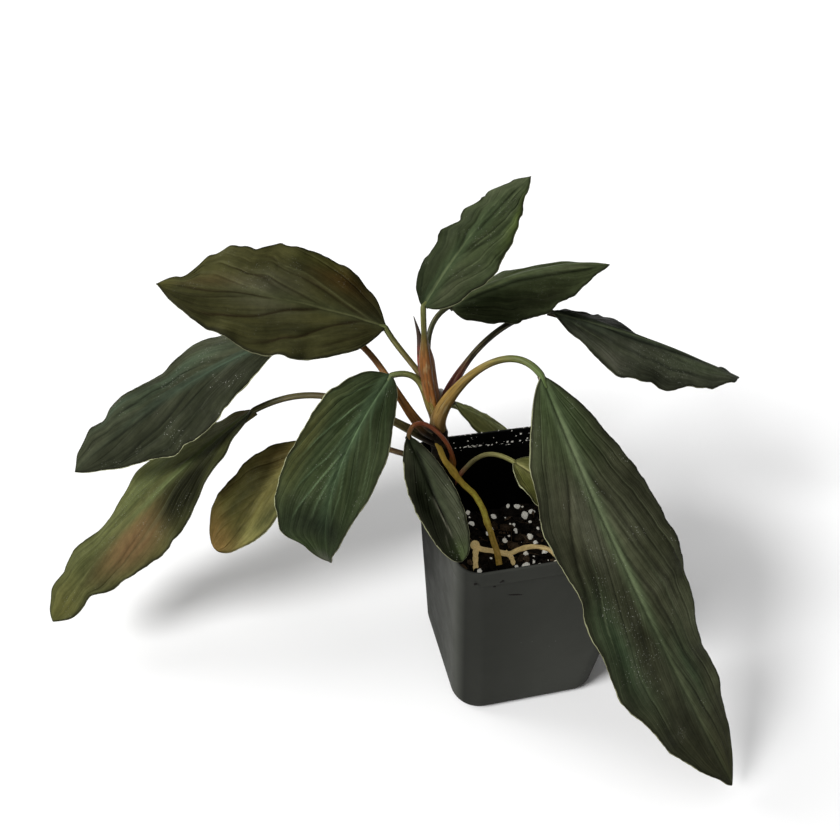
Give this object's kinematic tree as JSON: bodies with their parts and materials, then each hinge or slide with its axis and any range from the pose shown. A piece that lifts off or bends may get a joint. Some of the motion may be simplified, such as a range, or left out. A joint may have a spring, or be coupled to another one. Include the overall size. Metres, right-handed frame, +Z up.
{
  "type": "potted homalomena plant",
  "caption": "Small aroid house plant with dark, waved, lance-shaped leaves on arching stalks, growing from a dark stem in a square black nursery pot of bark and perlite mix.",
  "frame": {"origin": "centre of the pot's flat base, on the surface the pot stands on", "axes": "+Z up; the pot's sides lie along X and Y; -Y is the front, where the long hanging leaf is; +X is to the right as seen from the front"},
  "size_m": [0.2766, 0.176, 0.1739],
  "materials": {
    "pot": "satin charcoal-black moulded plastic, slightly dusty",
    "soil": "dark potting mix of bark chunks, coir and white perlite",
    "stem": "dark brown corky stem with leaf scars",
    "green_root": "waxy yellow-green aerial root",
    "pale_root": "matte tan-yellow roots",
    "petiole": "satin stalk, orange-brown at its foot and olive green above",
    "new_leaf": "satin rolled leaf, reddish at its foot and dark at its tip",
    "blade": "satin blackish green leaf with fine arching veins and a thin pale margin"
  },
  "bodies": {
    "root": {"pot": "pot", "soil": "soil", "stem": "stem", "prop_root": "green_root", "surface_roots": "pale_root", "new_leaf": "new_leaf", "front_petiole": "petiole", "front_blade": "blade", "right_petiole": "petiole", "right_blade": "blade", "upper_right_petiole": "petiole", "upper_right_blade": "blade", "top_petiole": "petiole", "top_blade": "blade", "upper_left_petiole": "petiole", "upper_left_blade": "blade", "left_petiole": "petiole", "left_blade": "blade", "lower_left_petiole": "petiole", "lower_left_blade": "blade", "small_left_petiole": "petiole", "small_left_blade": "blade", "centre_petiole": "petiole", "centre_blade": "blade", "rim_petiole": "petiole", "rim_blade": "blade", "inner_petiole": "petiole", "inner_blade": "blade", "back_petiole": "petiole", "back_blade": "blade"}
  },
  "joints": []
}
